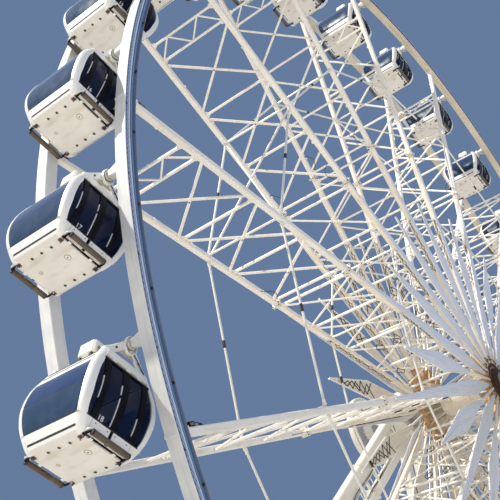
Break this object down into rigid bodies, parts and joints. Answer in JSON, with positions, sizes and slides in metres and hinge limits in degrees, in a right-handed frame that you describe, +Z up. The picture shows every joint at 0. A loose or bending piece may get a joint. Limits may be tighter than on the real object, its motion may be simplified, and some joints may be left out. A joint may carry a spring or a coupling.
{
  "type": "ferris wheel",
  "caption": "Transportable observation wheel with closed cabins hung between two rims, lattice spokes, a hub on a fixed axle, A-frames and a boarding deck.",
  "frame": {"origin": "centre of the base on the ground, below the hub", "axes": "+X across the wheel, +Y along the axle away from the near side, +Z up"},
  "size_m": [37.5056, 11.224, 39.4287],
  "materials": {
    "cabin_white": "gloss white paint with tinted windows",
    "frame_white": "cream white paint, rust at the joints",
    "panel_blue_grey": "ribbed blue-grey panel",
    "steel_grey": "grey paint",
    "base_grey": "light grey paint"
  },
  "bodies": {
    "support": {"axle": "steel_grey", "boarding_deck": "base_grey", "near_head": "frame_white", "near_left_leg": "frame_white", "near_right_leg": "frame_white", "near_base_beam": "base_grey", "far_head": "frame_white", "far_left_leg": "frame_white", "far_right_leg": "frame_white", "far_base_beam": "base_grey"},
    "wheel": {"hub": "frame_white", "near_rim": "frame_white", "far_rim": "frame_white", "near_star": "panel_blue_grey", "far_star": "panel_blue_grey", "spoke_01": "frame_white", "spoke_02": "frame_white", "spoke_03": "frame_white", "spoke_04": "frame_white", "spoke_05": "frame_white", "spoke_06": "frame_white", "spoke_07": "frame_white", "spoke_08": "frame_white", "spoke_09": "frame_white", "spoke_10": "frame_white", "spoke_11": "frame_white", "spoke_12": "frame_white", "spoke_13": "frame_white", "spoke_14": "frame_white", "spoke_15": "frame_white"},
    "cabin_01_body": {"cabin_01": "cabin_white"},
    "cabin_02_body": {"cabin_02": "cabin_white"},
    "cabin_03_body": {"cabin_03": "cabin_white"},
    "cabin_04_body": {"cabin_04": "cabin_white"},
    "cabin_05_body": {"cabin_05": "cabin_white"},
    "cabin_06_body": {"cabin_06": "cabin_white"},
    "cabin_07_body": {"cabin_07": "cabin_white"},
    "cabin_08_body": {"cabin_08": "cabin_white"},
    "cabin_09_body": {"cabin_09": "cabin_white"},
    "cabin_10_body": {"cabin_10": "cabin_white"},
    "cabin_11_body": {"cabin_11": "cabin_white"},
    "cabin_12_body": {"cabin_12": "cabin_white"},
    "cabin_13_body": {"cabin_13": "cabin_white"},
    "cabin_14_body": {"cabin_14": "cabin_white"},
    "cabin_15_body": {"cabin_15": "cabin_white"},
    "cabin_16_body": {"cabin_16": "cabin_white"},
    "cabin_17_body": {"cabin_17": "cabin_white"},
    "cabin_18_body": {"cabin_18": "cabin_white"},
    "cabin_19_body": {"cabin_19": "cabin_white"},
    "cabin_20_body": {"cabin_20": "cabin_white"},
    "cabin_21_body": {"cabin_21": "cabin_white"},
    "cabin_22_body": {"cabin_22": "cabin_white"},
    "cabin_23_body": {"cabin_23": "cabin_white"},
    "cabin_24_body": {"cabin_24": "cabin_white"},
    "cabin_25_body": {"cabin_25": "cabin_white"},
    "cabin_26_body": {"cabin_26": "cabin_white"},
    "cabin_27_body": {"cabin_27": "cabin_white"},
    "cabin_28_body": {"cabin_28": "cabin_white"},
    "cabin_29_body": {"cabin_29": "cabin_white"},
    "cabin_30_body": {"cabin_30": "cabin_white"}
  },
  "joints": [
    {"name": "wheel_turn", "type": "hinge", "parent": "support", "child": "wheel", "pos_m": [0, 0, 21.3], "axis": [0, 1, 0], "continuous": true},
    {"name": "cabin_01_swing", "type": "hinge", "parent": "wheel", "child": "cabin_01_body", "pos_m": [17.87744, 0, 23.39695], "axis": [0, 1, 0], "continuous": true},
    {"name": "cabin_02_swing", "type": "hinge", "parent": "wheel", "child": "cabin_02_body", "pos_m": [17.05079, 0, 27.06806], "axis": [0, 1, 0], "continuous": true},
    {"name": "cabin_03_swing", "type": "hinge", "parent": "wheel", "child": "cabin_03_body", "pos_m": [15.47894, 0, 30.48707], "axis": [0, 1, 0], "continuous": true},
    {"name": "cabin_04_swing", "type": "hinge", "parent": "wheel", "child": "cabin_04_body", "pos_m": [13.23059, 0, 33.50457], "axis": [0, 1, 0], "continuous": true},
    {"name": "cabin_05_swing", "type": "hinge", "parent": "wheel", "child": "cabin_05_body", "pos_m": [10.404, 0, 35.98866], "axis": [0, 1, 0], "continuous": true},
    {"name": "cabin_06_swing", "type": "hinge", "parent": "wheel", "child": "cabin_06_body", "pos_m": [7.1227, 0, 37.83079], "axis": [0, 1, 0], "continuous": true},
    {"name": "cabin_07_swing", "type": "hinge", "parent": "wheel", "child": "cabin_07_body", "pos_m": [3.53011, 0, 38.95045], "axis": [0, 1, 0], "continuous": true},
    {"name": "cabin_08_swing", "type": "hinge", "parent": "wheel", "child": "cabin_08_body", "pos_m": [-0.21676, 0, 39.29869], "axis": [0, 1, 0], "continuous": true},
    {"name": "cabin_09_swing", "type": "hinge", "parent": "wheel", "child": "cabin_09_body", "pos_m": [-3.95417, 0, 38.86031], "axis": [0, 1, 0], "continuous": true},
    {"name": "cabin_10_swing", "type": "hinge", "parent": "wheel", "child": "cabin_10_body", "pos_m": [-7.51875, 0, 37.65446], "axis": [0, 1, 0], "continuous": true},
    {"name": "cabin_11_swing", "type": "hinge", "parent": "wheel", "child": "cabin_11_body", "pos_m": [-10.75473, 0, 35.73384], "axis": [0, 1, 0], "continuous": true},
    {"name": "cabin_12_swing", "type": "hinge", "parent": "wheel", "child": "cabin_12_body", "pos_m": [-13.52068, 0, 33.18239], "axis": [0, 1, 0], "continuous": true},
    {"name": "cabin_13_swing", "type": "hinge", "parent": "wheel", "child": "cabin_13_body", "pos_m": [-15.69571, 0, 30.11162], "axis": [0, 1, 0], "continuous": true},
    {"name": "cabin_14_swing", "type": "hinge", "parent": "wheel", "child": "cabin_14_body", "pos_m": [-17.18476, 0, 26.65575], "axis": [0, 1, 0], "continuous": true},
    {"name": "cabin_15_swing", "type": "hinge", "parent": "wheel", "child": "cabin_15_body", "pos_m": [-17.92275, 0, 22.9658], "axis": [0, 1, 0], "continuous": true},
    {"name": "cabin_16_swing", "type": "hinge", "parent": "wheel", "child": "cabin_16_body", "pos_m": [-17.87744, 0, 19.20305], "axis": [0, 1, 0], "continuous": true},
    {"name": "cabin_17_swing", "type": "hinge", "parent": "wheel", "child": "cabin_17_body", "pos_m": [-17.05079, 0, 15.53194], "axis": [0, 1, 0], "continuous": true},
    {"name": "cabin_18_swing", "type": "hinge", "parent": "wheel", "child": "cabin_18_body", "pos_m": [-15.47894, 0, 12.11293], "axis": [0, 1, 0], "continuous": true},
    {"name": "cabin_19_swing", "type": "hinge", "parent": "wheel", "child": "cabin_19_body", "pos_m": [-13.23059, 0, 9.09543], "axis": [0, 1, 0], "continuous": true},
    {"name": "cabin_20_swing", "type": "hinge", "parent": "wheel", "child": "cabin_20_body", "pos_m": [-10.404, 0, 6.61134], "axis": [0, 1, 0], "continuous": true},
    {"name": "cabin_21_swing", "type": "hinge", "parent": "wheel", "child": "cabin_21_body", "pos_m": [-7.1227, 0, 4.76921], "axis": [0, 1, 0], "continuous": true},
    {"name": "cabin_22_swing", "type": "hinge", "parent": "wheel", "child": "cabin_22_body", "pos_m": [-3.53011, 0, 3.64955], "axis": [0, 1, 0], "continuous": true},
    {"name": "cabin_23_swing", "type": "hinge", "parent": "wheel", "child": "cabin_23_body", "pos_m": [0.21676, 0, 3.30131], "axis": [0, 1, 0], "continuous": true},
    {"name": "cabin_24_swing", "type": "hinge", "parent": "wheel", "child": "cabin_24_body", "pos_m": [3.95417, 0, 3.73969], "axis": [0, 1, 0], "continuous": true},
    {"name": "cabin_25_swing", "type": "hinge", "parent": "wheel", "child": "cabin_25_body", "pos_m": [7.51875, 0, 4.94554], "axis": [0, 1, 0], "continuous": true},
    {"name": "cabin_26_swing", "type": "hinge", "parent": "wheel", "child": "cabin_26_body", "pos_m": [10.75473, 0, 6.86616], "axis": [0, 1, 0], "continuous": true},
    {"name": "cabin_27_swing", "type": "hinge", "parent": "wheel", "child": "cabin_27_body", "pos_m": [13.52068, 0, 9.41761], "axis": [0, 1, 0], "continuous": true},
    {"name": "cabin_28_swing", "type": "hinge", "parent": "wheel", "child": "cabin_28_body", "pos_m": [15.69571, 0, 12.48838], "axis": [0, 1, 0], "continuous": true},
    {"name": "cabin_29_swing", "type": "hinge", "parent": "wheel", "child": "cabin_29_body", "pos_m": [17.18476, 0, 15.94425], "axis": [0, 1, 0], "continuous": true},
    {"name": "cabin_30_swing", "type": "hinge", "parent": "wheel", "child": "cabin_30_body", "pos_m": [17.92275, 0, 19.6342], "axis": [0, 1, 0], "continuous": true}
  ],
  "couplings": [
    {"joint": "cabin_01_swing", "follows": "wheel_turn", "ratio": -1},
    {"joint": "cabin_02_swing", "follows": "wheel_turn", "ratio": -1},
    {"joint": "cabin_03_swing", "follows": "wheel_turn", "ratio": -1},
    {"joint": "cabin_04_swing", "follows": "wheel_turn", "ratio": -1},
    {"joint": "cabin_05_swing", "follows": "wheel_turn", "ratio": -1},
    {"joint": "cabin_06_swing", "follows": "wheel_turn", "ratio": -1},
    {"joint": "cabin_07_swing", "follows": "wheel_turn", "ratio": -1},
    {"joint": "cabin_08_swing", "follows": "wheel_turn", "ratio": -1},
    {"joint": "cabin_09_swing", "follows": "wheel_turn", "ratio": -1},
    {"joint": "cabin_10_swing", "follows": "wheel_turn", "ratio": -1},
    {"joint": "cabin_11_swing", "follows": "wheel_turn", "ratio": -1},
    {"joint": "cabin_12_swing", "follows": "wheel_turn", "ratio": -1},
    {"joint": "cabin_13_swing", "follows": "wheel_turn", "ratio": -1},
    {"joint": "cabin_14_swing", "follows": "wheel_turn", "ratio": -1},
    {"joint": "cabin_15_swing", "follows": "wheel_turn", "ratio": -1},
    {"joint": "cabin_16_swing", "follows": "wheel_turn", "ratio": -1},
    {"joint": "cabin_17_swing", "follows": "wheel_turn", "ratio": -1},
    {"joint": "cabin_18_swing", "follows": "wheel_turn", "ratio": -1},
    {"joint": "cabin_19_swing", "follows": "wheel_turn", "ratio": -1},
    {"joint": "cabin_20_swing", "follows": "wheel_turn", "ratio": -1},
    {"joint": "cabin_21_swing", "follows": "wheel_turn", "ratio": -1},
    {"joint": "cabin_22_swing", "follows": "wheel_turn", "ratio": -1},
    {"joint": "cabin_23_swing", "follows": "wheel_turn", "ratio": -1},
    {"joint": "cabin_24_swing", "follows": "wheel_turn", "ratio": -1},
    {"joint": "cabin_25_swing", "follows": "wheel_turn", "ratio": -1},
    {"joint": "cabin_26_swing", "follows": "wheel_turn", "ratio": -1},
    {"joint": "cabin_27_swing", "follows": "wheel_turn", "ratio": -1},
    {"joint": "cabin_28_swing", "follows": "wheel_turn", "ratio": -1},
    {"joint": "cabin_29_swing", "follows": "wheel_turn", "ratio": -1},
    {"joint": "cabin_30_swing", "follows": "wheel_turn", "ratio": -1}
  ]
}
